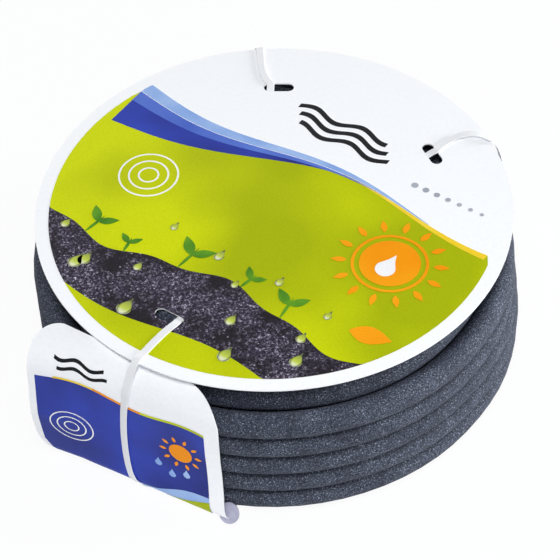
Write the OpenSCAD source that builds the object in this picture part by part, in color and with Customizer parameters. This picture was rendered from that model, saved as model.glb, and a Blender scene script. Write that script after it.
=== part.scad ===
// Porous soaker hose, sold as a flat coil. A round card lies on the coil, three plastic
// straps pass through slots in the card and round the coil's section, and a wrap label is
// held under the front strap. Millimetres, +Z up. The origin is on the coil's axis at the
// height of the surface that the coil lies on. Angles are turned from +X towards +Y.

/* [Hose] */
// Outside diameter of the hose
hose_od = 18; // [16:0.5:20]
// Bore of the hose, for a 1/2 inch barb
bore_d = 12.5; // [10:0.5:13]
// Straight, clean-cut length at each end of the hose
end_straight = 30; // [20:1:40]

/* [Coil] */
// Centreline radius of the outermost column of turns
outer_turn_r = 162; // [150:1:180]
// Number of columns of turns, side by side
columns = 4; // [3:1:5]
// Turns stacked in each full column
full_turns = 6; // [5:1:7]
// Turns missing from the top of the outermost column
missing_turns = 1; // [1:1:3]
// Space between one turn and the next
turn_gap = 0.3; // [0.2:0.1:0.6]
// Direction at which the hose has climbed to the free place above the outermost column
outer_end_az = 60; // [58:1:64]
// Arc from there to the straight outer end
outer_end_arc = 30; // [28:1:36]
// Direction at which the top turn of the innermost column starts to cross down
top_turn_end_az = 138; // [134:1:142]
// Direction at which the inner end leaves that top turn
inner_end_az = 195; // [190:1:205]
// How much tighter the inner end's bend is than the turn that it leaves
inner_end_inset = 26; // [22:1:30]
// Angle of that bend
inner_end_bend = 105; // [98:1:110]

/* [Card] */
// Distance from the card's rim in to the coil's outer face
card_inset = 5; // [2:0.5:9]
// Thickness of the card
card_t = 1; // [0.6:0.1:1.6]
// Length of each strap slot
slot_l = 22; // [18:0.5:28]
// Width of each strap slot
slot_w = 8.5; // [7:0.5:10]
// Distance from the coil's inner face out to the middle of the slots
slot_reach = 17.3; // [14:0.1:22]
// Direction midway between the two rear slots
card_up = 54; // [52:1:56]
// Angle of each rear slot from that direction
slot_spread = 32.4; // [31:0.1:34]

/* [Straps] */
// Width of the strap
strap_w = 5; // [4:0.5:6]
// Thickness of the strap
strap_t = 0.8; // [0.6:0.1:1.2]
// How far the outer run of a rear strap bows off the coil
strap_bow = 9; // [4:0.5:12]
// Length of the welded lap that closes each strap
lap_l = 32; // [20:1:50]
// Direction at which each strap passes its slot: rear, right, front
strap_az = [89.5, 21.6, -122.2];
// Heading of each strap across the coil: rear, right, front
strap_heading = [100, 22, -136.7];

/* [Label] */
// Width of the label
label_w = 134; // [110:1:150]
// Thickness of the label
label_t = 0.5; // [0.4:0.1:0.8]
// Direction that the label's face looks in
label_az = -117.3; // [-120:0.1:-114]
// Offset of the label's middle along the coil
label_shift = -25; // [-30:1:-20]
// Distance from the coil's outer face to the label's face
label_standoff = 3; // [2:0.5:6]
// Radius at which the label bends over the coil's top edge
shoulder_r = 24; // [20:1:28]
// Radius at which the label rolls under the coil
foot_r = 10; // [8:0.5:14]
// Radius of the label's corners
label_corner = 18; // [10:1:24]
// Drop of the label's top edge from its high corner to its low corner
label_slope = 7; // [0:1:12]
// Length of label that lies under the coil
tail_l = 39; // [30:1:50]
// Radius of the rounded tab that sticks out beside the label's foot
tab_r = 11; // [8:1:14]

/* [Fits] */
// Clearance between pieces that lie on each other
clearance = 0.3; // [0.2:0.1:0.4]
// Extra space between the front strap and the label's face
label_slack = 1; // [0.8:0.1:2]

/* [Hidden] */
$fn = 96;

hose_r = hose_od/2;
turn_pitch = hose_od + turn_gap;
column_pitch = turn_pitch*sin(60);
base_z = strap_t + label_t + 2*clearance;
outer_turns = full_turns - missing_turns;

inner_column = columns - 1;
function column_r(c) = outer_turn_r - c*column_pitch;
// Whole turns in a column; the innermost column's top turn isn't a whole one
function column_turns(c) = c == 0 ? outer_turns : c == inner_column ? full_turns - 1 : full_turns;
function turn_z(c, t) = base_z + hose_r + (c%2)*turn_pitch/2 + t*turn_pitch;
function top_turn_z(c) = turn_z(c, column_turns(c) - 1);

coil_r = outer_turn_r + hose_r;
coil_in_r = column_r(inner_column) - hose_r;
coil_top = turn_z(1, full_turns - 1) + hose_r;
top_turn_height = turn_z(inner_column, full_turns - 1);
inner_end_bend_r = column_r(inner_column) - inner_end_inset;
card_r = coil_r - card_inset;
card_z = coil_top + strap_t + 2*clearance;
card_top = card_z + card_t;
slot_r = coil_in_r + slot_reach;
slot_az = [card_up + slot_spread, card_up - slot_spread, card_up + 180];

// Heights and places of the straps' middle line
strap_floor_z = strap_t/2;
strap_under_z = coil_top + clearance + strap_t/2;
strap_over_z = card_top + clearance + strap_t/2;
strap_wall = clearance + strap_t/2;
slot_ramp = 4;
ramp_r = 1.5;
inner_bend_r = 4;
rim_bend_r = 5;
rim_bend_x = 4;
floor_bend_r = 7;
low_bend_r = 60;
high_bend_r = 30;
front_floor_bend_r = 9;

// The label's middle line
label_x = coil_r + label_standoff;
label_top_z = coil_top + clearance + label_t/2;
label_floor_z = strap_t + clearance + label_t/2;
label_left = label_shift - label_w/2;
label_right = label_shift + label_w/2;
tail_x = label_x - foot_r - tail_l;
tab_out = 4;
far = 300;

hose_colour = "#3b414b";
card_colour = "#e9eef3";
strap_colour = "#dfe6ea";
label_colour = "#2f3f9e";

// ---- outline helpers ----

function unit(v) = v/norm(v);
function turn_angle(v) = atan2(v.y, v.x);
function short_way(a) = a > 180 ? a - 360 : a < -180 ? a + 360 : a;

// Points of the arc of radius r that rounds the corner b between a and c
function corner_arc(a, b, c, r) =
    let (u = unit(a - b), v = unit(c - b),
         half = acos(u*v)/2,
         centre = b + unit(u + v)*r/sin(half),
         from = b + u*r/tan(half) - centre,
         to = b + v*r/tan(half) - centre,
         sweep = short_way(turn_angle(to) - turn_angle(from)),
         steps = max(2, ceil(abs(sweep)/9)))
    [for (i = [0:steps]) centre + r*[cos(turn_angle(from) + sweep*i/steps),
                                     sin(turn_angle(from) + sweep*i/steps)]];

function point(p) = [p[0], p[1]];
function rounded_corner(list, i) =
    let (n = len(list), p = list[i])
    p[2] == 0 ? [point(p)]
              : corner_arc(point(list[(i + n - 1)%n]), point(p), point(list[(i + 1)%n]), p[2]);
// A closed outline from corners given as [x, y, radius]
function rounded(list) = [for (i = [0:len(list) - 1]) each rounded_corner(list, i)];

function side(v) = [-v.y, v.x];
function joint_normal(a, b, c) =
    let (n = unit(side(unit(b - a)) + side(unit(c - b)))) n/(n*side(unit(c - b)));
function closed_offset(line, d) =
    let (n = len(line))
    [for (i = [0:n - 1]) line[i] + d*joint_normal(line[(i + n - 1)%n], line[i], line[(i + 1)%n])];
function open_offset(line, d) =
    let (n = len(line))
    [for (i = [0:n - 1])
        line[i] + d*(i == 0 ? side(unit(line[1] - line[0]))
                   : i == n - 1 ? side(unit(line[i] - line[i - 1]))
                   : joint_normal(line[i - 1], line[i], line[i + 1]))];
function backwards(list) = [for (i = [len(list) - 1:-1:0]) list[i]];

// Stands a flat outline up, with its x outward along X and its y along Z
module upright(width) {
    translate([0, width/2, 0])
        rotate([90, 0, 0])
            linear_extrude(width) children();
}

// ---- hose ----

// Sections of all the turns in a column
module column_section(c) {
    for (t = [0:column_turns(c) - 1])
        translate([column_r(c), turn_z(c, t)]) circle(r = hose_r);
}

// The outermost column of turns, closed between one turn and the next
module hose_outer_turns() {
    color(hose_colour)
        rotate_extrude() {
            column_section(0);
            translate([column_r(0) - hose_r/2, turn_z(0, 0)])
                square([hose_r, top_turn_z(0) - turn_z(0, 0)]);
        }
}

// Centres of the turns on the border of the inner columns
function inner_border() = concat(
    [for (c = [1:inner_column]) [column_r(c), top_turn_z(c)]],
    [for (c = [inner_column:-1:1]) [column_r(c), turn_z(c, 0)]]);

// The nested inner columns of turns, closed inside
module hose_inner_turns() {
    color(hose_colour)
        rotate_extrude() {
            polygon(inner_border());
            for (c = [1:inner_column]) column_section(c);
        }
}

module hose_section() {
    difference() {
        circle(r = hose_r);
        circle(d = bore_d);
    }
}

// The straight end of the hose, from the origin towards -Y
module straight_end() {
    rotate([90, 0, 0])
        linear_extrude(end_straight) hose_section();
}

module hose_outer_end() {
    color(hose_colour)
        translate([0, 0, turn_z(0, outer_turns)])
            rotate([0, 0, outer_end_az + outer_end_arc])
                mirror([0, 1, 0]) {
                    rotate_extrude(angle = outer_end_arc)
                        translate([column_r(0), 0]) hose_section();
                    translate([column_r(0), 0, 0]) straight_end();
                }
}

// The top turn of the innermost column, as far as it lies level
module hose_top_turn() {
    color(hose_colour)
        translate([0, 0, top_turn_height])
            rotate([0, 0, inner_end_az])
                rotate_extrude(angle = 360 + top_turn_end_az - inner_end_az)
                    translate([column_r(inner_column), 0]) hose_section();
}

// The inner end bends off that turn into the middle of the coil
module hose_inner_end() {
    color(hose_colour)
        translate([inner_end_inset*cos(inner_end_az), inner_end_inset*sin(inner_end_az),
                   top_turn_height])
            rotate([0, 0, inner_end_az - inner_end_bend]) {
                rotate_extrude(angle = inner_end_bend)
                    translate([inner_end_bend_r, 0]) hose_section();
                translate([inner_end_bend_r, 0, 0]) straight_end();
            }
}

// ---- card ----

module slot() {
    square([slot_w, slot_l - slot_w], center = true);
    for (end = [-1, 1])
        translate([0, end*(slot_l - slot_w)/2]) circle(d = slot_w);
}

module top_card() {
    color(card_colour)
        translate([0, 0, card_z])
            difference() {
                cylinder(r = card_r, h = card_t);
                for (az = slot_az)
                    rotate([0, 0, az])
                        translate([slot_r, 0, -card_t])
                            linear_extrude(3*card_t) slot();
            }
}

// ---- straps ----

// Each strap lies in an upright plane along its heading, this far beside the coil's axis
function strap_aside(i) = slot_r*sin(strap_az[i] - strap_heading[i]);
// Where that plane meets the radius r
function strap_reach(i, r) = sqrt(r*r - pow(strap_aside(i), 2));

// A closed band round the coil's section; outer_run is its corners up the outside
module strap(i, outer_run) {
    slot_x = slot_r*cos(strap_az[i] - strap_heading[i]);
    inner_x = strap_reach(i, coil_in_r - strap_wall);
    line = rounded(concat(
        [[inner_x, strap_floor_z, inner_bend_r]],
        outer_run,
        [[strap_reach(i, card_r) + rim_bend_x, strap_over_z, rim_bend_r],
         [slot_x + slot_ramp/2, strap_over_z, ramp_r],
         [slot_x - slot_ramp/2, strap_under_z, ramp_r],
         [inner_x, strap_under_z, inner_bend_r]]));
    count = len(line);
    color(strap_colour)
        rotate([0, 0, strap_heading[i]])
            translate([0, strap_aside(i), 0])
                upright(strap_w) {
                    polygon(concat(closed_offset(line, -strap_t/2), closed_offset(line, strap_t/2)),
                            [[for (k = [0:count - 1]) k], [for (k = [count:2*count - 1]) k]]);
                    translate([inner_x - 1.5*strap_t, (coil_top - lap_l)/2])
                        square([1.5*strap_t, lap_l]);
                }
}

// A rear strap hugs the coil low down and bows off it below the card's rim
module bowed_strap(i) {
    wall_x = strap_reach(i, coil_r + strap_wall);
    strap(i, [[wall_x, strap_floor_z, floor_bend_r],
              [wall_x, 0.3*coil_top, low_bend_r],
              [wall_x + strap_bow, 0.74*coil_top, high_bend_r]]);
}

module rear_strap() { bowed_strap(0); }

module right_strap() { bowed_strap(1); }

// The front strap lies over the label's face
module front_strap() {
    lean = label_az - strap_heading[2];
    face_x = label_x + label_t/2 + label_slack + strap_t/2;
    wall_x = (face_x - strap_aside(2)*sin(lean))/cos(lean);
    strap(2, [[wall_x, strap_floor_z, front_floor_bend_r],
              [wall_x, 0.6*coil_top, low_bend_r],
              [wall_x + 1, 0.8*coil_top, high_bend_r]]);
}

// ---- label ----

function label_line() =
    let (corners = [[label_x - shoulder_r - 5, label_top_z, 0], [label_x, label_top_z, shoulder_r],
                    [label_x, label_floor_z, foot_r], [tail_x, label_floor_z, 0]])
    [for (i = [0:3]) each rounded_corner(corners, i)];

// Cuts the top edge and its corners, seen square to the middle of the shoulder bend
module top_outline() {
    high = shoulder_r*sin(45);
    translate([label_x - shoulder_r, 0, label_top_z - shoulder_r])
        rotate([0, 45, 0])
            translate([0, 0, -far])
                linear_extrude(2*far)
                    polygon(rounded([[far, label_left, 0], [far, label_right, 0],
                                     [label_slope - high, label_right, label_corner],
                                     [-high, label_left, label_corner]]));
}

// Cuts the corners of the end that lies under the coil
module tail_outline() {
    translate([0, 0, -far])
        linear_extrude(2*far)
            polygon(rounded([[far, label_left, 0], [far, label_right, 0],
                             [tail_x, label_right, label_corner],
                             [tail_x, label_left, label_corner]]));
}

module wrap_label() {
    line = label_line();
    color(label_colour)
        rotate([0, 0, label_az]) {
            intersection() {
                translate([0, label_shift, 0])
                    upright(label_w)
                        polygon(concat(open_offset(line, label_t/2),
                                       backwards(open_offset(line, -label_t/2))));
                top_outline();
                tail_outline();
            }
            translate([label_x - foot_r + tab_out - 1, label_right - tab_out,
                       label_floor_z - label_t/2])
                cylinder(r = tab_r, h = label_t);
        }
}

hose_outer_turns();
hose_inner_turns();
hose_top_turn();
hose_outer_end();
hose_inner_end();
top_card();
rear_strap();
right_strap();
front_strap();
wrap_label();
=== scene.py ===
"""A porous soaker hose in a flat, nested coil, with a round card on it, three clear straps
and a wrap label. Lengths are metres. Outlines, the straps' points, constants marked so and
names that end in _mm or _MM are millimetres."""

from math import atan2, ceil, cos, degrees, floor, hypot, pi, radians, sin

import bmesh
import bpy
from mathutils import Matrix, Vector, noise


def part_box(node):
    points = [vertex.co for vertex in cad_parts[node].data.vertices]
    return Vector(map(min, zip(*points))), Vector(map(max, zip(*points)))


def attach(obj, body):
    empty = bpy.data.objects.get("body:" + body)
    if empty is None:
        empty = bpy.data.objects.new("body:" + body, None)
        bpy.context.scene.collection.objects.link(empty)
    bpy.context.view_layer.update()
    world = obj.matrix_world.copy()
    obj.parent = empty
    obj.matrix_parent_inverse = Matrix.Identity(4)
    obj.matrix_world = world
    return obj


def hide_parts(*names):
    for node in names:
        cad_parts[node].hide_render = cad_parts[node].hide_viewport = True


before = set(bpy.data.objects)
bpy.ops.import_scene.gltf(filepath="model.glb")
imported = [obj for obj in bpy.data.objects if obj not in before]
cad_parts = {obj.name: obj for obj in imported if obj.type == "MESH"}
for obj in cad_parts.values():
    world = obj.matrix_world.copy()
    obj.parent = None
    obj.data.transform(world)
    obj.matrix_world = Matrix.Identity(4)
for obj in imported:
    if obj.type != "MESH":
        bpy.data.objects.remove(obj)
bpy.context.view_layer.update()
MM = 0.001

# ---- sizes taken from the frame ----

COIL_LOW, COIL_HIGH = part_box("hose_outer_turns")
CARD_LOW, CARD_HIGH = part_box("top_card")
COIL_R = COIL_HIGH[0]
CARD_R = CARD_HIGH[0]
CARD_TOP = CARD_HIGH[2]
CARD_UNDER = CARD_LOW[2]

# ---- the hose ----

HOSE_D = 18 * MM
HOSE_BORE = 12.5 * MM
TURN_GAP = 0.3 * MM
TURN_PITCH = HOSE_D + TURN_GAP
COLUMN_PITCH = TURN_PITCH * sin(pi / 3)
COLUMNS = 4
ROWS = 6
BASE_Z = COIL_LOW[2]
OUTER_TURN_R = COIL_R - HOSE_D / 2
END_STRAIGHT = 30 * MM
END_STEPS = 4
# Degrees between the centreline's points: on a turn, and where it bends, climbs or crosses
TURN_STEP = 5
BEND_STEP = 4

# Directions, named az, are degrees turned from +X towards +Y
INNER_END_AZ = 195
INNER_END_BEND = 105
INNER_END_INSET = 26 * MM
OUTER_END_AZ = 90
# How far the coil has spread at its foot, most of all towards SPREAD_AZ
SPREAD = 2.6 * MM
SPREAD_AZ = -95
# The lean starts as LEAN_FOOT times LEAN, and loses LEAN_SWING times LEAN between two heights
LEAN = 3.3 * MM
LEAN_AZ = 14
LEAN_FOOT = 1.25
LEAN_SWING = 2
LEAN_Z = (0.035, 0.075)
# How far a turn strays at most: like the rest of its column, on its own, and up or down
WANDER_SHARED_MM = 0.9
WANDER_OWN_MM = 0.35
WANDER_UP_MM = 0.3
# Where each column climbs from one turn to the next, and where it crosses to the next column
CLIMB = {0: (26, 57), 1: (62, 96), 2: (100, 136), 3: (138, 178)}
CROSSING = {1: (44, 78), 2: (78, 118), 3: (114, 158)}


def column_r(column):
    return OUTER_TURN_R - column * COLUMN_PITCH


def turn_z(column, row):
    return BASE_Z + HOSE_D / 2 + (column % 2) * TURN_PITCH / 2 + row * TURN_PITCH


def share(value, low, high):
    """How far value lies from low to high, between 0 and 1."""
    return min(1, max(0, (value - low) / (high - low)))


def eased(part):
    """A part from 0 to 1 that starts and ends gently."""
    return (1 - cos(pi * min(1, max(0, part)))) / 2


def polar(r, az, z):
    return Vector((r * cos(radians(az)), r * sin(radians(az)), z))


def spread(az, z):
    """How far out the coil has spread: at its foot in front, and with a lean on the right that
    is outwards at its foot and inwards at its top."""
    down = 1 - min(1, z / CARD_UNDER)
    swing = LEAN_FOOT - LEAN_SWING * share(z, *LEAN_Z)
    lean = LEAN * swing * max(0, cos(radians(az - LEAN_AZ))) ** 3
    return SPREAD * min(1, 2 * down) * max(0, cos(radians(az - SPREAD_AZ))) + lean


def wander(az, column, row):
    """How far a turn strays from a true circle: outwards and upwards."""
    a = radians(az)
    around = Vector((cos(a), sin(a), 0))
    # What is added to the direction keeps the noise of columns and turns apart
    shared = noise.noise(around * 2.1 + Vector((3, 0, 0.3 * column)))
    own = noise.noise(around * 3.3 + Vector((0, 9, 7.7 * column + 3.1 * row)))
    settled = spread(az, turn_z(column, row))
    out = (WANDER_SHARED_MM * shared + WANDER_OWN_MM * own) * MM + settled
    return out, WANDER_UP_MM * own * MM


def turn_point(column, row, az, part=0.0, next_turn=None):
    """A point of a turn, or part of the way from it to the next turn."""
    r, z = column_r(column), turn_z(column, row)
    if next_turn:
        q = eased(part)
        r += (column_r(next_turn[0]) - r) * q
        z += (turn_z(*next_turn) - z) * q
    out, up = wander(az, column, row)
    return polar(r + out, az, z + up)


def inner_end_points():
    """From the cut inner end round its bend, to the top turn of the innermost column."""
    z = turn_z(COLUMNS - 1, ROWS - 1)
    bend_r = column_r(COLUMNS - 1) - INNER_END_INSET
    centre = polar(INNER_END_INSET, INNER_END_AZ, 0)
    start = INNER_END_AZ - INNER_END_BEND
    tangent = polar(1, start - 90, 0)
    points = [centre + polar(bend_r, start, z) + tangent * END_STRAIGHT * k / END_STEPS
              for k in range(END_STEPS, 0, -1)]
    steps = INNER_END_BEND // BEND_STEP
    return points + [centre + polar(bend_r, start + INNER_END_BEND * k / steps, z)
                     for k in range(steps)]


def hose_points():
    """The hose's centreline: column by column, up and down in turn, from the inner end."""
    points = inner_end_points()
    turns = []
    for column in range(COLUMNS - 1, -1, -1):
        rows = range(ROWS) if column % 2 == 0 else range(ROWS - 1, -1, -1)
        turns += [(column, row) for row in rows]
    az = INNER_END_AZ
    for here, after in zip(turns, turns[1:]):
        window = CLIMB[here[0]] if here[0] == after[0] else CROSSING[here[0]]
        lap = 360 * (floor((az - window[1]) / 360) + 1)
        begin, end = window[0] + lap, window[1] + lap
        while az < begin:
            points.append(turn_point(*here, az))
            az += TURN_STEP
        steps = ceil((end - begin) / BEND_STEP)
        for k in range(steps):
            az = begin + (end - begin) * k / steps
            points.append(turn_point(*here, az, k / steps, after))
        az = end
    last = OUTER_END_AZ + 360 * floor(az / 360)
    while az < last:
        points.append(turn_point(*turns[-1], az))
        az += TURN_STEP
    tangent = polar(1, OUTER_END_AZ + 90, 0)
    corner = turn_point(*turns[-1], last)
    return points + [corner + tangent * END_STRAIGHT * k / END_STEPS
                     for k in range(END_STEPS + 1)]


# ---- materials ----

def linear(hex_colour):
    """An sRGB hex colour as linear red, green, blue and alpha."""
    parts = [int(hex_colour[i:i + 2], 16) / 255 for i in (1, 3, 5)]
    return [c / 12.92 if c <= 0.04045 else ((c + 0.055) / 1.055) ** 2.4 for c in parts] + [1.0]


def per_mm(size_mm):
    """The texture scale, per metre, at which a pattern repeats about every size_mm."""
    return 1 / (size_mm * MM)


def set_up(tree, node, inputs):
    """Gives each input its value, or links it to the socket that feeds it."""
    for name, value in inputs.items():
        if isinstance(value, bpy.types.NodeSocket):
            tree.links.new(value, node.inputs[name])
        else:
            node.inputs[name].default_value = value


def add(tree, kind, inputs=None, **settings):
    """Adds a node; each input is a value or the socket that feeds it."""
    node = tree.nodes.new(kind)
    for name, value in settings.items():
        setattr(node, name, value)
    set_up(tree, node, inputs or {})
    return node


def ramp(tree, factor, *stops):
    """A colour ramp from (position, hex colour) stops."""
    node = add(tree, "ShaderNodeValToRGB", {"Fac": factor})
    elements = node.color_ramp.elements
    while len(elements) < len(stops):
        elements.new(0.5)
    for element, (position, colour) in zip(elements, stops):
        element.position = position
        element.color = linear(colour)
    return node.outputs["Color"]


def blend(tree, factor, a, b, mode="MIX"):
    node = add(tree, "ShaderNodeMix", {0: factor, 6: a, 7: b}, data_type="RGBA", blend_type=mode)
    return node.outputs[2]


def material(name):
    """A new material with only its output and a Principled shader."""
    made = bpy.data.materials.new(name)
    made.use_nodes = True
    tree = made.node_tree
    tree.nodes.clear()
    shader = add(tree, "ShaderNodeBsdfPrincipled")
    add(tree, "ShaderNodeOutputMaterial", {"Surface": shader.outputs[0]})
    return made, tree, shader


def porous_rubber():
    """Hose extruded from ground rubber: matt, gritty, blue-black, with pale crumbs, and pits
    darkened with painted shade.
    """
    made, tree, shader = material("porous_rubber")
    coords = add(tree, "ShaderNodeTexCoord").outputs["Object"]
    # Crumbs are about half a millimetre across, and drawn at 0.9 mm so that they show
    crumb = add(tree, "ShaderNodeTexNoise",
                {"Vector": coords, "Scale": per_mm(0.9), "Detail": 2.0, "Roughness": 0.7})
    patch = add(tree, "ShaderNodeTexNoise",
                {"Vector": coords, "Scale": per_mm(22), "Detail": 2.0})
    pit = add(tree, "ShaderNodeTexVoronoi", {"Vector": coords, "Scale": per_mm(2.4)})
    body = ramp(tree, crumb.outputs["Fac"], (0.32, "#1b1f28"), (0.5, "#3a404e"),
                (0.61, "#5b6376"), (0.74, "#c4ccdc"))
    dull = ramp(tree, patch.outputs["Fac"], (0.3, "#c4c6cc"), (0.7, "#ffffff"))
    # The pits are darkened in colour: painted shade inside the pores, whose bump alone would not
    # shade them.
    pit_shade = ramp(tree, pit.outputs["Distance"], (0.05, "#6a6a6a"), (0.28, "#ffffff"))
    colour = blend(tree, 1.0, blend(tree, 1.0, body, dull, "MULTIPLY"), pit_shade, "MULTIPLY")
    height = add(tree, "ShaderNodeMath",
                 {0: crumb.outputs["Fac"], 1: pit.outputs["Distance"]}, operation="ADD")
    bump = add(tree, "ShaderNodeBump",
               {"Height": height.outputs[0], "Strength": 0.55, "Distance": 0.6 * MM})
    set_up(tree, shader, {"Base Color": colour, "Normal": bump.outputs["Normal"],
                          "Roughness": 0.82, "Specular IOR Level": 0.35})
    return made


WHITE_BOARD = ("#fafcff", "#f5f8fc")
# The label's white board darkened to a lavender grey: painted shade for the tail's end, which stands
# in the coil's shadow.
LABEL_BACK_PAINTED_SHADE = ("#b2b3c8", "#a2a3ba")


def coated_board(name, colour, shade):
    """Solid board, coated and varnished: smooth, faintly mottled, with a soft sheen."""
    made, tree, shader = material(name)
    coords = add(tree, "ShaderNodeTexCoord").outputs["Object"]
    fibre = add(tree, "ShaderNodeTexNoise",
                {"Vector": coords, "Scale": per_mm(3), "Detail": 4.0, "Roughness": 0.6})
    cockle = add(tree, "ShaderNodeTexNoise", {"Vector": coords, "Scale": per_mm(55), "Detail": 1.0})
    tone = ramp(tree, fibre.outputs["Fac"], (0.3, shade), (0.6, colour))
    bump = add(tree, "ShaderNodeBump",
               {"Height": cockle.outputs["Fac"], "Strength": 0.12, "Distance": 1.5 * MM})
    set_up(tree, shader, {"Base Color": tone, "Normal": bump.outputs["Normal"],
                          "Roughness": 0.38, "Coat Weight": 0.25, "Coat Roughness": 0.2})
    return made


def printed_ink(name, light, dark, grain_mm, sweep=(0, 0)):
    """Offset ink under varnish: a tone that drifts and lightens along sweep, with fine grain."""
    made, tree, shader = material(name)
    coords = add(tree, "ShaderNodeTexCoord").outputs["Object"]
    drift = add(tree, "ShaderNodeTexNoise",
                {"Vector": coords, "Scale": per_mm(grain_mm), "Detail": 1.5})
    # The screen is about 0.17 mm, and drawn at 0.8 mm so that it shows
    screen = add(tree, "ShaderNodeTexNoise", {"Vector": coords, "Scale": per_mm(0.8), "Detail": 2.0})
    along = add(tree, "ShaderNodeVectorMath", {0: coords, 1: (sweep[0], sweep[1], 0)},
                operation="DOT_PRODUCT")
    swept = add(tree, "ShaderNodeMath", {0: drift.outputs["Fac"], 1: along.outputs["Value"]},
                operation="ADD")
    tone = ramp(tree, swept.outputs[0], (0.32, dark), (0.68, light))
    fleck = ramp(tree, screen.outputs["Fac"], (0.3, "#efefef"), (0.6, "#ffffff"))
    set_up(tree, shader, {"Base Color": blend(tree, 1.0, tone, fleck, "MULTIPLY"),
                          "Roughness": 0.5, "Specular IOR Level": 0.12})
    return made


def printed_soil():
    """Printed wet soil: near black, with lilac-grey crumbs that thin out into dark clods."""
    made, tree, shader = material("printed_soil")
    coords = add(tree, "ShaderNodeTexCoord").outputs["Object"]
    clod = add(tree, "ShaderNodeTexNoise",
               {"Vector": coords, "Scale": per_mm(26), "Detail": 3.0, "Roughness": 0.6})
    crumb = add(tree, "ShaderNodeTexNoise",
                {"Vector": coords, "Scale": per_mm(1.7), "Detail": 3.0, "Roughness": 0.75})
    glint = add(tree, "ShaderNodeTexVoronoi", {"Vector": coords, "Scale": per_mm(5.5)})
    dark = ramp(tree, crumb.outputs["Fac"], (0.35, "#08060a"), (0.7, "#241d28"))
    light = ramp(tree, crumb.outputs["Fac"], (0.4, "#120f17"), (0.56, "#4c4559"), (0.7, "#d0cadd"))
    where = add(tree, "ShaderNodeMapRange",
                {"Value": clod.outputs["Fac"], "From Min": 0.38, "From Max": 0.56})
    ground = blend(tree, where.outputs[0], dark, light)
    spark = ramp(tree, glint.outputs["Distance"], (0.05, "#b9b4c8"), (0.12, "#000000"))
    set_up(tree, shader, {"Base Color": blend(tree, 1.0, ground, spark, "ADD"),
                          "Roughness": 0.5, "Specular IOR Level": 0.12})
    return made


def printed_drop():
    """Printed water drop: clear middle in the ground's green, dark upper rim, bright foot."""
    made, tree, shader = material("printed_drop")
    uv = add(tree, "ShaderNodeTexCoord").outputs["UV"]
    centred = add(tree, "ShaderNodeMapping", {"Vector": uv, "Location": (-0.5, -0.42, 0)})
    reach = add(tree, "ShaderNodeVectorMath", {0: centred.outputs[0]}, operation="LENGTH")
    split = add(tree, "ShaderNodeSeparateXYZ", {0: uv})
    glassy = ramp(tree, split.outputs["Y"], (0.0, "#f4f8e4"), (0.35, "#b8c832"), (1.0, "#5c6a2c"))
    rim = ramp(tree, reach.outputs["Value"], (0.3, "#ffffff"), (0.46, "#59614a"), (0.5, "#f6f8f0"))
    set_up(tree, shader, {"Base Color": blend(tree, 1.0, glassy, rim, "MULTIPLY"),
                          "Roughness": 0.3, "Coat Weight": 0.4, "Coat Roughness": 0.1})
    return made


def clear_strapping():
    """Extruded polypropylene strapping: milky, a little clear, smooth, with faint draw lines."""
    made, tree, shader = material("clear_strapping")
    uv = add(tree, "ShaderNodeTexCoord").outputs["UV"]
    stretched = add(tree, "ShaderNodeMapping", {"Vector": uv, "Scale": (40.0, 6.0, 1.0)})
    line = add(tree, "ShaderNodeTexNoise", {"Vector": stretched.outputs[0], "Scale": 1.0})
    tone = ramp(tree, line.outputs["Fac"], (0.3, "#eef2f7"), (0.7, "#ffffff"))
    bump = add(tree, "ShaderNodeBump",
               {"Height": line.outputs["Fac"], "Strength": 0.3, "Distance": 0.05 * MM})
    set_up(tree, shader, {"Base Color": tone, "Normal": bump.outputs["Normal"],
                          "Roughness": 0.28, "Alpha": 0.86, "IOR": 1.49})
    return made


# ---- making pieces ----

SHARP_DEG = 35


def piece(name, bm, finish):
    """Turns a bmesh into an object that rides on the coil."""
    mesh = bpy.data.meshes.new(name)
    bm.to_mesh(mesh)
    bm.free()
    mesh.materials.append(finish)
    mesh.shade_smooth()
    mesh.set_sharp_from_angle(angle=radians(SHARP_DEG))
    made = bpy.data.objects.new(name, mesh)
    bpy.context.scene.collection.objects.link(made)
    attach(made, "root")
    return made


def tube(points, diameter, sides):
    """A bmesh tube along the points, open at both ends, unwrapped along and round."""
    curve = bpy.data.curves.new("line", "CURVE")
    curve.dimensions = "3D"
    curve.bevel_depth = diameter / 2
    curve.bevel_resolution = (sides - 4) // 2
    curve.twist_mode = "Z_UP"
    line = curve.splines.new("POLY")
    line.points.add(len(points) - 1)
    for spot, p in zip(line.points, points):
        spot.co = (*p, 1)
    holder = bpy.data.objects.new("line", curve)
    mesh = bpy.data.meshes.new_from_object(holder)
    bm = bmesh.new()
    bm.from_mesh(mesh)
    bpy.data.objects.remove(holder)
    bpy.data.curves.remove(curve)
    bpy.data.meshes.remove(mesh)
    return bm


def make_hose():
    """The whole hose, hollow from end to end."""
    points = hose_points()
    bm = tube(points, HOSE_D, sides=24)
    bore = tube(points, HOSE_BORE, sides=12)
    bmesh.ops.reverse_faces(bore, faces=bore.faces)
    spare = bpy.data.meshes.new("bore")
    bore.to_mesh(spare)
    bore.free()
    bm.from_mesh(spare)
    bpy.data.meshes.remove(spare)
    for end in (points[0], points[-1]):
        rims = [e for e in bm.edges if e.is_boundary and (e.verts[0].co - end).length < HOSE_D]
        bmesh.ops.bridge_loops(bm, edges=rims)
    hose = piece("hose", bm, porous_rubber())
    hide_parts("hose_outer_turns", "hose_inner_turns", "hose_top_turn",
                "hose_outer_end", "hose_inner_end")


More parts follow.
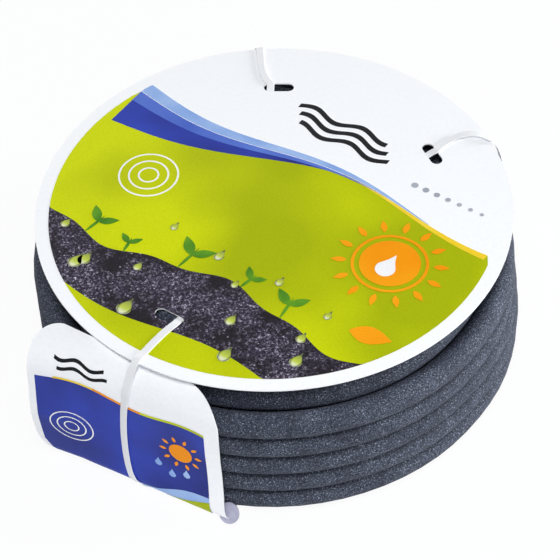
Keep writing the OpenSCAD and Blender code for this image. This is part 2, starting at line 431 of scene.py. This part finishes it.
def sheet_bmesh(outlines, thickness_mm, bend, step_mm):
    """A closed sheet cut from a flat one, with holes after the first outline. It has a line of
    points every step_mm, and bend(x, y, height) says where each of them goes."""
    bm = bmesh.new()
    edges = []
    for outline in outlines:
        verts = [bm.verts.new((x, y, 0)) for x, y in outline]
        edges += [bm.edges.new((a, b)) for a, b in zip(verts, verts[1:] + verts[:1])]
    bmesh.ops.triangle_fill(bm, use_beauty=True, edges=edges, normal=(0, 0, 1))
    xs = [p[0] for p in outlines[0]]
    ys = [p[1] for p in outlines[0]]
    for axis, low, high in ((0, min(xs), max(xs)), (1, min(ys), max(ys))):
        normal = Vector((1, 0, 0)) if axis == 0 else Vector((0, 1, 0))
        for k in range(ceil(low / step_mm), floor(high / step_mm) + 1):
            bmesh.ops.bisect_plane(bm, geom=bm.verts[:] + bm.edges[:] + bm.faces[:], dist=1e-4,
                                   plane_co=normal * k * step_mm, plane_no=normal)
    uv = bm.loops.layers.uv.new("UVMap")
    for face in bm.faces:
        for loop in face.loops:
            x, y, _ = loop.vert.co
            loop[uv].uv = ((x - min(xs)) / (max(xs) - min(xs)), (y - min(ys)) / (max(ys) - min(ys)))
    top = bmesh.ops.extrude_face_region(bm, geom=bm.faces[:])["geom"]
    bmesh.ops.translate(bm, verts=[v for v in top if isinstance(v, bmesh.types.BMVert)],
                        vec=(0, 0, thickness_mm))
    for v in bm.verts:
        v.co = bend(*v.co)
    bmesh.ops.recalc_face_normals(bm, faces=bm.faces)
    return bm


def ring(x, y, r, count):
    return [(x + r * cos(2 * pi * k / count), y + r * sin(2 * pi * k / count))
            for k in range(count)]


def arc(x, y, r, start, end, step=4):
    count = max(2, ceil(abs(end - start) / step))
    return [(x + r * cos(radians(start + (end - start) * k / count)),
             y + r * sin(radians(start + (end - start) * k / count))) for k in range(count + 1)]


# ---- the card ----

# Millimetres and degrees; the print's up points along CARD_UP, between the two upper slots
SLOT_L, SLOT_W = 22, 8.5
SLOT_R = 122.755
CARD_UP = 54
SLOT_SPAN = 32.4
SLOT_AZ = (CARD_UP + SLOT_SPAN, CARD_UP - SLOT_SPAN, CARD_UP + 180)


def on_card(u, v, w):
    """Print millimetres, u along and v up the print, w above the card's face, as a place."""
    up = radians(CARD_UP)
    return Vector(((u * sin(up) + v * cos(up)) * MM, (-u * cos(up) + v * sin(up)) * MM,
                   CARD_TOP + w * MM))


def slot_outline(az):
    """One strap slot in print millimetres."""
    turn = radians(az - CARD_UP)
    flat = arc(0, (SLOT_L - SLOT_W) / 2, SLOT_W / 2, 0, 180, 15) \
        + arc(0, -(SLOT_L - SLOT_W) / 2, SLOT_W / 2, 180, 360, 15)
    out = []
    for x, y in flat:
        r = SLOT_R + x
        # the print's v runs along the direction CARD_UP, and its u a quarter turn before it
        along, side = r * cos(turn) - y * sin(turn), r * sin(turn) + y * cos(turn)
        out.append((-side, along))
    return out


def make_card(finish):
    thickness = (CARD_TOP - CARD_UNDER) / MM
    bm = sheet_bmesh([ring(0, 0, CARD_R / MM, 180)] + [slot_outline(a) for a in SLOT_AZ],
                     thickness, lambda u, v, w: on_card(u, v, w - thickness), step_mm=12)
    card = piece("card", bm, finish)
    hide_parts("top_card")


# ---- the label ----

# Millimetres and degrees
LABEL_AZ = -117.3
LABEL_X = 174.0
SHOULDER_R = 24.0
SHOULDER_Z = 97.1
FOOT_R = 10.0
FOOT_Z = 11.35
TAIL_L = 39.0
LABEL_T = 0.5
# The label's left end stands off the coil, from where to where along it, and less below a height
FLARE = 7.0
FLARE_S = (25, 97)
FLARE_RISE = 50
# It also splays to the left, more and more from a height down
SPLAY = 4.5
SPLAY_TOP = 115
SPLAY_DROP = 85
# Its right foot kicks out from a height down, and slides to the right, its lowest part more
KICK = 6.5
KICK_S = (-65, 42)
KICK_TOP = 60
KICK_DROP = 58
SLIDE = 3
LOW_SLIDE = 2.5
LOW_TOP = 14
LOW_DROP = 13
# The tab's foot, out from the coil's axis, its place along the label, radius and lean
TAB_X = 179.0
TAB_S = 46
TAB_R = 7.5
TAB_LEAN = 52


def label_section(h):
    """Distance from the coil's axis, height, and the outward normal at h up the label."""
    face = SHOULDER_Z - FOOT_Z
    if h > 0:
        a = min(h / SHOULDER_R, pi / 2)
        over = max(0, h - SHOULDER_R * pi / 2)
        return (LABEL_X - SHOULDER_R + SHOULDER_R * cos(a) - over,
                SHOULDER_Z + SHOULDER_R * sin(a), cos(a), sin(a))
    if h > -face:
        return LABEL_X, SHOULDER_Z + h, 1.0, 0.0
    a = min((-h - face) / FOOT_R, pi / 2)
    over = max(0, -h - face - FOOT_R * pi / 2)
    return (LABEL_X - FOOT_R + FOOT_R * cos(a) - over, FOOT_Z - FOOT_R * sin(a), cos(a), -sin(a))


def beside_label(x, s, z):
    """Millimetres out from the coil's axis, along the label and up, as a place."""
    az = radians(LABEL_AZ)
    return Vector(((x * cos(az) - s * sin(az)) * MM, (x * sin(az) + s * cos(az)) * MM, z * MM))


def on_label(s, h, w):
    """Label millimetres, s along the coil and h up from the shoulder, w off the face."""
    x, z, out, up = label_section(h)
    left = share(-s, *FLARE_S)
    right = share(s, *KICK_S)
    low = share(KICK_TOP - z, 0, KICK_DROP)
    flare = FLARE * left ** 1.6 * max(0, out) * share(z, 0, FLARE_RISE)
    kick = KICK * right ** 0.8 * low ** 2
    slide = right * (SLIDE * low + LOW_SLIDE * share(LOW_TOP - z, 0, LOW_DROP))
    splay = SPLAY * left * eased((SPLAY_TOP - z) / SPLAY_DROP)
    return beside_label(x + (flare + kick + out * w), s + (slide - splay), z + up * w)


def label_outline():
    """The label's developed outline: round top corners, a slanted top and a short tail."""
    fold = -(SHOULDER_Z - FOOT_Z) - FOOT_R * pi / 2
    return (arc(-79, 18, 17, 180, 95) + arc(11, -5, 31, 85, 0)
            + arc(24, fold, 18, 0, -90) + arc(-58, fold - TAIL_L + 12, 12, -90, -180)
            + arc(-72, -72, 24, 230, 180))


def make_label(finish):
    bm = sheet_bmesh([label_outline()], LABEL_T,
                     lambda s, h, w: on_label(s, h, w - LABEL_T / 2), step_mm=3)
    label = piece("label", bm, finish)
    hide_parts("wrap_label")


def on_tab(up, s, w):
    """Tab millimetres, up from its foot and s along the label, w off its face. It leans on the
    lowest turn."""
    lean = radians(TAB_LEAN)
    x = TAB_X - up * cos(lean) + w * sin(lean)
    z = FOOT_Z - FOOT_R + up * sin(lean) + w * cos(lean)
    return beside_label(x, s, z)


def make_label_tab(finish):
    """The rounded end of the label's tail, which sticks up beside its foot, in the white board's
    colour darkened to a lavender grey of painted shade.
    """
    bm = sheet_bmesh([ring(TAB_R, TAB_S, TAB_R, 36)], LABEL_T, on_tab, step_mm=4)
    piece("label_tab", bm, finish)


# ---- the straps ----

STRAP_W = 5.5 * MM
STRAP_T = 0.8 * MM
# Millimetres from the axis on the coil's inner wall: the strap's end, and the layer over it
LAP_UNDER = 104.4
LAP_OVER = 103.5
# Millimetres: how far a strap's middle is above the floor, and above the card's face
ON_FLOOR = 0.4
ON_CARD = 0.7


def smooth_path(points, per_span=6):
    """A smooth line through the points."""
    out = []
    padded = [points[0] * 2 - points[1]] + points + [points[-1] * 2 - points[-2]]
    for a, b, c, d in zip(padded, padded[1:], padded[2:], padded[3:]):
        for k in range(per_span):
            t = k / per_span
            out.append(0.5 * (2 * b + (c - a) * t + (2 * a - 5 * b + 4 * c - d) * t * t
                              + (3 * b - a - 3 * c + d) * t ** 3))
    return out + [points[-1]]


def make_strap(name, node, points, finish):
    """A flat strap along the points, with its width along the hose and its ends closed."""
    path = smooth_path(points)
    for spot in path:
        # no lower than the floor allows
        spot.z = max(spot.z, STRAP_T / 2)
    bm = bmesh.new()
    uv = bm.loops.layers.uv.new("UVMap")
    half_w, half_t, ease = STRAP_W / 2, STRAP_T / 2, STRAP_T * 0.35
    section = [(half_w, half_t - ease), (half_w - ease, half_t), (-half_w + ease, half_t),
               (-half_w, half_t - ease), (-half_w, -half_t + ease), (-half_w + ease, -half_t),
               (half_w - ease, -half_t), (half_w, -half_t + ease)]
    verts = [bm.verts.new((0, 0, 0)) for _ in section]
    loop = [bm.edges.new((a, b)) for a, b in zip(verts, verts[1:] + verts[:1])]
    first = loop
    run = 0.0
    for i, here in enumerate(path):
        if i > 0:
            made = bmesh.ops.extrude_edge_only(bm, edges=loop)["geom"]
            faces = [f for f in made if isinstance(f, bmesh.types.BMFace)]
            old = verts
            verts = [next(e.other_vert(v) for e in v.link_edges
                          if e.other_vert(v) in made) for v in old]
            loop = [e for e in made if isinstance(e, bmesh.types.BMEdge)
                    and e.verts[0] in verts and e.verts[1] in verts]
            previous_run = run
            run += (here - path[i - 1]).length
            for face in faces:
                for corner in face.loops:
                    new = corner.vert in verts
                    k = (verts if new else old).index(corner.vert)
                    corner[uv].uv = (section[k][0] / STRAP_W,
                                     (run if new else previous_run) / STRAP_W)
        ahead = (path[min(i + 1, len(path) - 1)] - path[max(i - 1, 0)]).normalized()
        side = Vector((-here.y, here.x, 0)).normalized()
        side = (side - ahead * side.dot(ahead)).normalized()
        out = side.cross(ahead)
        for v, (x, y) in zip(verts, section):
            v.co = here + side * x + out * y
    for end in (first, loop):
        bmesh.ops.contextual_create(bm, geom=end)
    bmesh.ops.recalc_face_normals(bm, faces=bm.faces)
    strap = piece(name, bm, finish)
    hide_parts(node)


def place(r, az, z):
    """Millimetres and degrees as a place."""
    return polar(r * MM, az, z * MM)


def over_card(r, az, above=ON_CARD):
    return place(r, az, CARD_TOP / MM + above)


def inner_run(az):
    """From the lap down the coil's inner wall and out along the floor."""
    return [place(LAP_OVER, az, 76), place(LAP_OVER, az, 44), place(104.2, az, 30),
            place(104.4, az, 10), place(107.5, az, 1.4), place(113, az, ON_FLOOR)]


def outer_run(az_slot, az_wall):
    """From the slot in the card, under it, and down the coil's inner wall to the lap."""
    return [over_card(126.5, az_slot, 0.6), place(122.8, az_slot, 122.6),
            place(119.2, az_slot, 121.3), place(112, (az_slot + az_wall) / 2, 121.2),
            place(107, az_wall, 120.6), place(104.6, az_wall, 116), place(LAP_UNDER, az_wall, 96),
            place(LAP_UNDER, az_wall, 70), place(LAP_UNDER, az_wall, 42)]


def make_straps():
    finish = clear_strapping()
    rear = inner_run(87.7) + [
        place(140, 90.6, ON_FLOOR), place(164, 92.2, ON_FLOOR), place(170.4, 92.4, 3),
        place(171.9, 92.5, 10), place(171.9, 92.5, 30), place(174, 92.5, 55), place(178, 92.4, 86),
        place(177, 92.3, 104), place(172.8, 92.1, 115), place(169, 92, 121),
        over_card(166.2, 91.9, 0.9), over_card(161, 91.8), over_card(150, 91.8),
        over_card(139, 91.5), over_card(131, 90.5)] + outer_run(89.3, 87.7)
    make_strap("rear_strapping", "rear_strap", rear, finish)
    right = inner_run(21.5) + [
        place(140, 21.2, ON_FLOOR), place(167.5, 20.5, ON_FLOOR), place(173.8, 20, 3.4),
        place(177, 19.8, 10.5), place(177, 18.7, 29), place(175.6, 17.4, 47),
        place(174.6, 16.3, 64), place(174.4, 15.8, 84), place(173.6, 16.2, 96),
        place(172.4, 17, 106), place(171, 17.8, 114.5), place(169.2, 18.6, 120.5),
        place(167.2, 19.6, 123.6), over_card(163.5, 21.4, 1.6), over_card(159, 22.9, 2.2),
        over_card(151, 24.1, 2.0), over_card(141, 24.3, 1.2), over_card(131, 23.3)] \
        + outer_run(22.3, 21.5)
    make_strap("right_strapping", "right_strap", right, finish)
    front = inner_run(-119.6) + [
        place(138, -121, ON_FLOOR), place(156, -122, ON_FLOOR), on_label(-16, -101, 0.9),
        on_label(-22, -95, 0.9), on_label(-26.5, -88, 0.9), on_label(-29, -81, 0.9),
        on_label(-30.5, -66, 0.8), on_label(-30.5, -48, 0.8), on_label(-29.5, -32, 0.8),
        on_label(-28, -17, 0.9), on_label(-26, -5, 1.2), on_label(-24.5, 4, 1.6),
        place(172.2, -124.9, 113), place(168.7, -124.6, 120.4), over_card(164.8, -124.4, 1.0),
        over_card(157, -124.3), over_card(146, -124.1), over_card(134, -123.6)] \
        + outer_run(-122.9, -119.6)
    make_strap("front_strapping", "front_strap", front, finish)


# ---- print ----

# Millimetres: the edge of the card's print, the ink's thickness and its height off the sheet.
# The label's ink is higher, so that the sheet doesn't show through it at its folds.
PRINT_R = 156.5
INK = 0.05
INK_LIFT = 0.02
LABEL_INK_LIFT = 0.05


def held_in(points):
    """Points outside the print's circle are drawn in to its edge."""
    return [(x, y) if hypot(x, y) <= PRINT_R
            else (x * PRINT_R / hypot(x, y), y * PRINT_R / hypot(x, y)) for x, y in points]


def band(low, high, start, end, step=4.0):
    """The outline between two curves, low(x) and high(x)."""
    count = ceil((end - start) / step)
    xs = [start + (end - start) * k / count for k in range(count + 1)]

    def edge(x, a, b):
        rows = max(1, ceil(abs(b - a) / step))
        return [(x, a + (b - a) * k / rows) for k in range(1, rows)]
    return ([(x, high(x)) for x in xs] + edge(end, high(end), low(end))
            + [(x, low(x)) for x in reversed(xs)] + edge(start, low(start), high(start)))


def stripe(line, width, start, end, step):
    """The outline of a stripe that reaches from line(x) to width above it."""
    return band(line, lambda x: line(x) + width, start, end, step)


def leaf(x, y, length, width, lean):
    """A pointed leaf that grows from (x, y) at lean degrees."""
    side = [(length * k / 10, width / 2 * sin(pi * (k / 10) ** 0.85)) for k in range(1, 10)]
    flat = [(0, 0)] + side + [(length, 0)] + [(a, -b) for a, b in reversed(side)]
    c, d = cos(radians(lean)), sin(radians(lean))
    return [(x + a * c - b * d, y + a * d + b * c) for a, b in flat]


def drop(x, y, r):
    """A water drop with its round foot at the bottom."""
    return arc(x, y, r, 158, 382, 14) + [(x + 0.35 * r, y + 1.25 * r), (x, y + 2.1 * r),
                                         (x - 0.35 * r, y + 1.25 * r)]


def washer(x, y, r, width):
    return [ring(x, y, r + width / 2, 40), ring(x, y, r - width / 2, 40)]


class Print:
    """Lays ink on a sheet, each layer on the one before it."""

    def __init__(self, label, slot, place_on, step_mm, layer_mm):
        self.label, self.slot, self.place_on = label, slot, place_on
        self.step_mm, self.layer_mm = step_mm, layer_mm

    def lay(self, name, outlines, ink, layer):
        lift = INK_LIFT + self.layer_mm * layer
        bm = sheet_bmesh(outlines, INK, lambda x, y, w: self.place_on(x, y, w + lift),
                         self.step_mm)
        piece(f"{self.label}_{name}", bm, ink)

    def rays(self, x, y, r, count, length, width, ink, layer):
        """Pointed rays round a sun at (x, y), each from r outwards."""
        for k in range(count):
            a = 360 / count * k
            foot = (x + r * cos(radians(a)), y + r * sin(radians(a)))
            self.lay(f"ray_{k}", [leaf(*foot, length, width, a)], ink, layer)


def make_inks():
    return {
        "lime": printed_ink("lime_ink", "#d2dd00", "#a9b600", 90, sweep=(-1.0, 0.3)),
        "deep_blue": printed_ink("deep_blue_ink", "#3246b4", "#26307f", 45),
        "mid_blue": printed_ink("mid_blue_ink", "#5f7fd6", "#4a66c4", 40),
        "sky": printed_ink("sky_ink", "#a9c6f2", "#86a9e6", 30),
        "orange": printed_ink("orange_ink", "#ffac14", "#f79604", 50),
        "yellow": printed_ink("yellow_ink", "#fbe14e", "#f3cd20", 30),
        "green": printed_ink("green_ink", "#5f9a22", "#3f7a1c", 12),
        "black": printed_ink("black_ink", "#16181c", "#0c0d10", 30),
        "grey": printed_ink("grey_ink", "#b7bcc6", "#a2a8b4", 30),
        "white": printed_ink("white_ink", "#ffffff", "#f4f6fa", 30),
        "soil": printed_soil(),
        "drop": printed_drop(),
    }


def print_card(inks):
    sheet = Print("card", "coated_card", on_card, step_mm=12, layer_mm=0.06)
    slot = slot_outline(SLOT_AZ[2])
    right = 149.0
    steps = 60

    def shore(u):
        return 45 + 7 * sin(u / 36 + 0.9)

    field = [(u, shore(u)) for u in [-right + 2 * right * k / steps for k in range(steps + 1)]]
    start = degrees(atan2(shore(right), right))
    end = degrees(atan2(shore(-right), -right)) - 360
    sheet.lay("field", [held_in(field + arc(0, 0, PRINT_R, start, end, 3)[1:-1]), slot],
              inks["lime"], 0)
    # Each wave follows the shore and thins out: its lower edge, upper edge, ends, ink and layer
    for name, low, high, ends, ink, layer in (
            ("deep", lambda u: shore(u) - 0.5 - 36 * ((30 - u) / 180) ** 1.3,
             lambda u: shore(u) - 0.5, (-right, 29.9), "deep_blue", 1),
            ("mid", lambda u: shore(u) - 11 * ((60 - u) / 210) ** 1.1,
             shore, (-right, 59.9), "mid_blue", 2),
            ("sky", lambda u: shore(u) + 0.6,
             lambda u: shore(u) + 1 + 10 * ((100 - u) / 250) ** 0.9, (-right, 99.9), "sky", 0),
            ("yellow", lambda u: shore(u) - 4.5 * max(0, (u - 20) / 128) ** 0.8,
             lambda u: shore(u) + 0.3, (24, 148.5), "yellow", 1)):
        sheet.lay(f"{name}_wave", [held_in(band(low, high, *ends))], inks[ink], layer)

    def ground(u):
        return -84 + 8 * sin(u / 30 + 1.1) + 2.5 * sin(u / 9.7)

    sheet.lay("soil", [held_in(band(lambda u: -134 + 5 * sin(u / 27), ground, -148, 146, 3)), slot],
              inks["soil"], 1)
    seedlings = ((-96, 26, 8), (-62, 18, -10), (-22, 30, 5), (24, 20, 12), (62, 27, -6))
    for k, (u, tall, lean) in enumerate(seedlings):
        foot = ground(u) - 1
        sheet.lay(f"stem_{k}", [leaf(u, foot, tall * 0.8, 2.4, 90 - lean)], inks["green"], 2)
        top = (u + 0.5 * tall * sin(radians(lean)), foot + 0.5 * tall * cos(radians(lean)))
        sheet.lay(f"leaf_left_{k}", [leaf(*top, tall * 0.62, tall * 0.27, 140 - lean)],
                  inks["green"], 3)
        sheet.lay(f"leaf_right_{k}", [leaf(*top, tall * 0.58, tall * 0.25, 44 - lean)],
                  inks["green"], 3)
    drops = ((-112, -92, 3.2), (-80, -112, 4.4), (-45, -98, 3), (-30, -133, 5.2),
             (36, -104, 3.6), (50, -131, 4.6), (84, -92, 3.4), (92, -110, 4.2),
             (-84, -117, 4.8), (20, -76, 2.6), (-4, -60, 3.6), (44, -58, 3),
             (-46, -54, 2.8), (88, -66, 2.8))
    for k, (u, v, r) in enumerate(drops):
        sheet.lay(f"drop_{k}", [drop(u, v, r)], inks["drop"], 4)
    sun = (97, -3)
    sheet.lay("sun", [ring(*sun, 21, 64)], inks["orange"], 3)
    sheet.lay("sun_ring", washer(*sun, 25.5, 2.2), inks["orange"], 3)
    sheet.rays(*sun, r=29.5, count=14, length=11, width=4.6, ink=inks["orange"], layer=3)
    sheet.lay("sun_drop", [drop(sun[0], sun[1] - 6, 7)], inks["white"], 4)
    for k, r in enumerate((7, 14, 21)):
        sheet.lay(f"ripple_{k}", washer(-92, -22, r, 1.3), inks["white"], 1)
    sheet.lay("seed", [leaf(106, -68, 30, 15, 12)], inks["orange"], 2)
    for k in range(3):
        def swell(u, at=94 - 9 * k):
            return at + 3.2 * sin(u / 6.5)
        sheet.lay(f"swell_{k}", [stripe(swell, 4.4, -42 + 5 * k, 34 + 5 * k, 1.6)],
                  inks["black"], 0)
    for k in range(7):
        sheet.lay(f"dot_{k}", [ring(72 + 9 * k, 70, 2.6 - 0.18 * k, 24)], inks["grey"], 0)


def print_label(inks):
    sheet = Print("label", "coated_label",
                  lambda s, h, w: on_label(s, h, w + LABEL_T / 2 + LABEL_INK_LIFT),
                  step_mm=3, layer_mm=0.13)

    def crest(s):
        return -10 - 0.13 * (s + 30) + 3.2 * sin(s / 13)

    def base(s):
        return -94 + 0.04 * s

    def foot(s):
        return base(s) + 20 * share(-s, 72, 91) ** 2.5

    sheet.lay("panel", [band(foot, crest, -91, 31, 3)], inks["deep_blue"], 0)
    for name, height, start, end, ink in (("yellow", 1.6, -78, -50, "yellow"),
                                          ("orange", 1.9, -50, -16, "orange"),
                                          ("green", 1.9, -16, 31, "lime")):
        outline = band(lambda s: crest(s) - 0.2, lambda s, up=height: crest(s) + up, start, end, 3)
        sheet.lay(f"{name}_crest", [outline], inks[ink], 1)
    sheet.lay("sky_swell", [band(base, lambda s: -88 + 0.22 * (s + 20) + 2 * sin(s / 9),
                                 -26, 31, 3)], inks["sky"], 1)
    sheet.lay("lime_hill", [band(base, lambda s: -91.5 + 10 * max(0, (s + 4) / 35) ** 1.2,
                                 -4, 31, 2.5)], inks["lime"], 2)
    sun = (12, -42)
    sheet.lay("sun", [ring(*sun, 8.5, 40)], inks["orange"], 1)
    sheet.rays(*sun, r=10.5, count=10, length=5.5, width=2.6, ink=inks["orange"], layer=1)
    for k, (s, h) in enumerate(((-6, -60), (4, -67), (15, -63))):
        sheet.lay(f"drop_{k}", [drop(s, h, 2.6)], inks["sky"], 1)
    for k, r in enumerate((5, 10, 15)):
        sheet.lay(f"ripple_{k}", washer(-68, -52, r, 0.9), inks["white"], 1)
    for k in range(2):
        def swell(s, at=12 - 6 * k):
            return at - 0.1 * (s + 60) + 1.7 * sin(s / 3.6)
        sheet.lay(f"swell_{k}", [stripe(swell, 2.6, -78 + 3 * k, -42 + 3 * k, 1)],
                  inks["black"], 0)


# ---- stage ----

IMAGE_PX = 560
FOCAL_PX = 2018.49
# The camera's place in radii of the card, back from its centre and up, and its turn in radians
CAMERA_BACK = 5.955
CAMERA_UP = 6.0009
PITCH, PAN, ROLL = 0.826, 0.0023, -0.042
FLOOR_HALF = 6
# A pool of light on the table throws light up on the label and the turns beside it
POOL_CENTRE = (-0.05, -0.45, 0)
POOL_FULL_R = 0.24
POOL_R = 0.5
POOL_STRENGTH = 0.9
# Name, place, size and watts; all of them aim at the same place
LAMPS = (("overhead", (0.0, -0.85, 2.15), 0.8, 33),
         ("key", (2.4, 0.25, 0.45), 0.8, 72),
         ("fill", (0.2, -2.3, 0.7), 1.0, 10),
         ("back", (-0.6, 2.3, 0.5), 1.0, 16))
LAMP_AIM = (0, 0, 0.06)


def look_through_camera():
    """The camera's place and turn, found from the outline of the card."""
    data = bpy.data.cameras.new("camera")
    data.sensor_width = 36
    data.lens = FOCAL_PX * data.sensor_width / IMAGE_PX
    data.clip_end = 20
    camera = bpy.data.objects.new("camera", data)
    bpy.context.scene.collection.objects.link(camera)
    camera.location = (0, -CAMERA_BACK * CARD_R, CARD_TOP + CAMERA_UP * CARD_R)
    turn = Matrix.Rotation(-PAN, 3, "Z") @ Matrix.Rotation(pi / 2 - PITCH, 3, "X") \
        @ Matrix.Rotation(ROLL, 3, "Z")
    camera.rotation_euler = turn.to_euler()
    bpy.context.scene.camera = camera
    bpy.context.scene.view_settings.view_transform = "Standard"


def by_ray(tree, seen, other):
    """The seen shader for camera, mirror and glass rays, and the other one for the rest."""
    path = add(tree, "ShaderNodeLightPath")
    mirror = add(tree, "ShaderNodeMath", {0: path.outputs["Is Camera Ray"],
                                          1: path.outputs["Is Glossy Ray"]}, operation="MAXIMUM")
    both = add(tree, "ShaderNodeMath", {0: mirror.outputs[0],
                                        1: path.outputs["Is Transmission Ray"]},
               operation="MAXIMUM")
    return add(tree, "ShaderNodeMixShader", {0: both.outputs[0], 1: other, 2: seen}).outputs[0]


def make_stage():
    world = bpy.data.worlds.new("studio")
    world.use_nodes = True
    tree = world.node_tree
    tree.nodes.clear()
    seen = add(tree, "ShaderNodeBackground", {"Color": (1, 1, 1, 1), "Strength": 1.0})
    light = add(tree, "ShaderNodeBackground", {"Color": linear("#f4f8ff"), "Strength": 0.12})
    add(tree, "ShaderNodeOutputWorld", {0: by_ray(tree, seen.outputs[0], light.outputs[0])})
    bpy.context.scene.world = world

    floor_mesh = bpy.data.meshes.new("floor")
    bm = bmesh.new()
    bmesh.ops.create_grid(bm, x_segments=1, y_segments=1, size=FLOOR_HALF)
    bm.to_mesh(floor_mesh)
    bm.free()
    finish, tree, shader = material("pale_floor")
    set_up(tree, shader, {"Base Color": linear("#8d9096"), "Roughness": 0.9,
                          "Specular IOR Level": 0.1})
    glow = add(tree, "ShaderNodeEmission", {"Color": (1, 1, 1, 1), "Strength": 1.17})
    top = add(tree, "ShaderNodeMixShader", {0: 0.8, 1: shader.outputs[0], 2: glow.outputs[0]})
    coords = add(tree, "ShaderNodeTexCoord").outputs["Object"]
    reach = add(tree, "ShaderNodeVectorMath", {0: coords, 1: POOL_CENTRE}, operation="DISTANCE")
    fall = add(tree, "ShaderNodeMapRange",
               {"Value": reach.outputs["Value"], "From Min": POOL_FULL_R, "From Max": POOL_R,
                "To Min": POOL_STRENGTH, "To Max": 0.0})
    pool = add(tree, "ShaderNodeEmission", {"Color": (1, 1, 1, 1), "Strength": fall.outputs[0]})
    lit = add(tree, "ShaderNodeAddShader", {0: shader.outputs[0], 1: pool.outputs[0]})
    output = next(n for n in tree.nodes if n.type == "OUTPUT_MATERIAL")
    tree.links.new(by_ray(tree, top.outputs[0], lit.outputs[0]), output.inputs["Surface"])
    floor_mesh.materials.append(finish)
    stage = bpy.data.objects.new("floor", floor_mesh)
    bpy.context.scene.collection.objects.link(stage)

    for name, spot, size, energy in LAMPS:
        lamp = bpy.data.lights.new(name, "AREA")
        lamp.shape = "DISK"
        lamp.size = size
        lamp.energy = energy
        holder = bpy.data.objects.new(name, lamp)
        holder.location = spot
        aim = Vector(LAMP_AIM) - Vector(spot)
        holder.rotation_euler = aim.to_track_quat("-Z", "Y").to_euler()
        bpy.context.scene.collection.objects.link(holder)


look_through_camera()
make_hose()
make_stage()
make_card(coated_board("coated_board", *WHITE_BOARD))
make_label(coated_board("coated_label_stock", *WHITE_BOARD))
# The tab's lavender grey is painted shade on the label's white board.
make_label_tab(coated_board("label_back_painted_shade", *LABEL_BACK_PAINTED_SHADE))
make_straps()
colours = make_inks()
print_card(colours)
print_label(colours)
